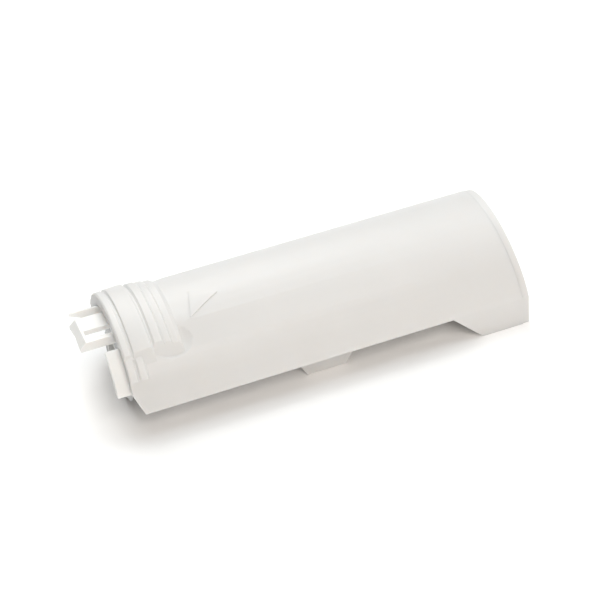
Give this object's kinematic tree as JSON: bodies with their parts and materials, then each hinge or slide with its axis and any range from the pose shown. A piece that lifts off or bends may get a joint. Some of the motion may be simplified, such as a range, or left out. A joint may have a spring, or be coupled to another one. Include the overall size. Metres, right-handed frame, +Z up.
{
  "type": "hand shower",
  "caption": "White stick-type hand shower: half-tube shell with a ribbed neck, open thumb side with a sprung pause bar, recessed threaded inlet and a spray face in the end.",
  "frame": {"origin": "centre of the footprint's bounding box, on the plane the hand shower rests on when it lies on its thumb side", "axes": "+X along the handle towards the spray end, +Z up out of the closed back of the handle, the hose inlet faces -X"},
  "size_m": [0.1186, 0.04, 0.0299],
  "materials": {
    "shell_white": "fine satin moulding",
    "carrier_white": "satin moulding",
    "plate_white": "satin moulding",
    "nipple_grey": "polished moulding",
    "tube_grey": "translucent grey moulding",
    "valve_grey": "satin moulding",
    "chamber_grey": "satin moulding",
    "valve_ivory": "satin moulding",
    "stem_white": "polished acetal",
    "limiter_blue": "satin moulding",
    "seal_black": "matt rubber",
    "washer_white": "matt silicone rubber",
    "nozzle_silicone": "soft silicone",
    "screw_steel": "stainless",
    "strainer_steel": "perforated stainless",
    "spring_steel": "drawn wire"
  },
  "bodies": {
    "handle": {"body_shell": "shell_white", "inner_carrier": "carrier_white", "carrier_screws": "screw_steel", "inlet_nipple": "nipple_grey", "inlet_washer": "washer_white", "inlet_strainer": "strainer_steel", "flow_limiter": "limiter_blue", "limiter_o_ring": "seal_black", "check_cage": "valve_ivory", "check_spring": "spring_steel", "nipple_o_ring": "seal_black", "supply_tube": "tube_grey", "tube_o_rings": "seal_black", "valve_body": "valve_grey", "gland_bush": "valve_ivory", "valve_plug": "valve_ivory", "plug_o_ring": "seal_black", "return_spring": "spring_steel", "delivery_tube": "tube_grey", "spray_chamber": "chamber_grey", "diffuser_plate": "valve_ivory", "nozzle_mat": "nozzle_silicone", "nozzle_plate": "plate_white", "face_screw": "screw_steel", "front_ring": "shell_white"},
    "button": {"thumb_button": "shell_white", "valve_stem": "stem_white", "stem_seals": "seal_black"},
    "poppet": {"check_poppet": "valve_ivory", "check_seal": "seal_black"}
  },
  "joints": [
    {"name": "button_press", "type": "slide", "parent": "handle", "child": "button", "axis": [0, 0, 1], "range_m": [0, 0.0025], "stiffness_N_per_m": 900, "springref_m": -0.004, "deforming": ["return_spring"]},
    {"name": "poppet_open", "type": "slide", "parent": "handle", "child": "poppet", "axis": [1, 0, 0], "range_m": [0, 0.0025], "stiffness_N_per_m": 120, "springref_m": -0.002, "deforming": ["check_spring"]}
  ]
}
